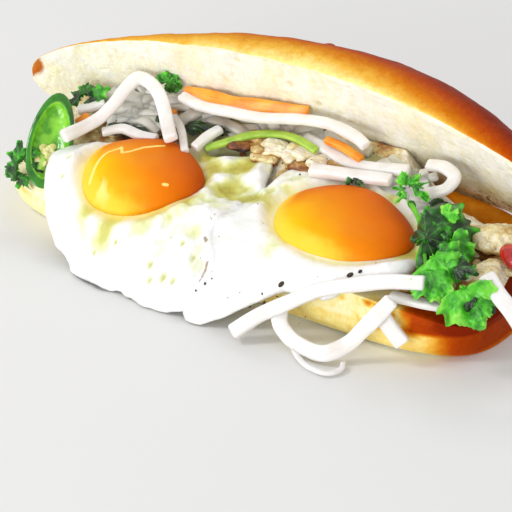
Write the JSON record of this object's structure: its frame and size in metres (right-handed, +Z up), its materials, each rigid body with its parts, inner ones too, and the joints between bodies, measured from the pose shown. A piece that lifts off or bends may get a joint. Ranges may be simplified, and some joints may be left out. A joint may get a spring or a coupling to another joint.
{
  "type": "banh mi sandwich",
  "caption": "Open banh mi roll, slit along the front and filled with fried eggs, grilled chicken, pickled strips, herbs and chilli; rests flat on its underside.",
  "frame": {"origin": "middle of the roll's flat underside, on the surface it rests on", "axes": "+X along the roll towards its right end seen from the open front, -Y out of the open front, +Z up"},
  "size_m": [0.2152, 0.1012, 0.0655],
  "materials": {
    "bread": "baked crust, golden to red-brown, pale open crumb on the cut faces",
    "egg_white": "cooked egg white, moist and glossy",
    "yolk": "soft fried yolk, glossy orange",
    "daikon": "pickled radish, moist white",
    "carrot": "pickled carrot, moist orange",
    "chicken": "grilled meat with browned edges",
    "herb": "fresh herb leaves",
    "stem": "spring onion, glossy lime green",
    "jalapeno": "glossy dark green skin, lime flesh",
    "chilli": "glossy red"
  },
  "bodies": {
    "root": {"bread_roll": "bread", "cilantro_stem": "herb", "daikon_front_long": "daikon", "daikon_loop": "daikon", "daikon_curl": "daikon", "daikon_hanging_end": "daikon", "daikon_arch": "daikon", "daikon_top_long": "daikon", "daikon_top_cut": "daikon", "daikon_top_slanting": "daikon", "daikon_folded": "daikon", "daikon_short": "daikon", "daikon_on_yolk": "daikon", "daikon_left": "daikon", "daikon_back_left": "daikon", "daikon_right": "daikon", "daikon_rim": "daikon", "carrot_broad": "carrot", "carrot_thin": "carrot", "carrot_left": "carrot", "carrot_under_arch": "carrot", "spring_onion_stem": "stem", "cilantro_leaf_low": "herb", "cilantro_leaf_bright": "herb", "cilantro_leaf_dark": "herb", "cilantro_leaf_top": "herb", "herb_scrap": "herb", "herb_leaf_left": "herb", "herb_leaf_back_left": "herb", "herb_leaf_back": "herb", "jalapeno_half": "jalapeno", "chilli_slice": "chilli", "yolk_left": "yolk", "yolk_right": "yolk", "egg_white_right": "egg_white", "egg_white_left": "egg_white", "chicken_chunk_back": "chicken", "chicken_chunk_front": "chicken", "grilled_chicken": "chicken", "pickle_heap": "daikon"}
  },
  "joints": []
}
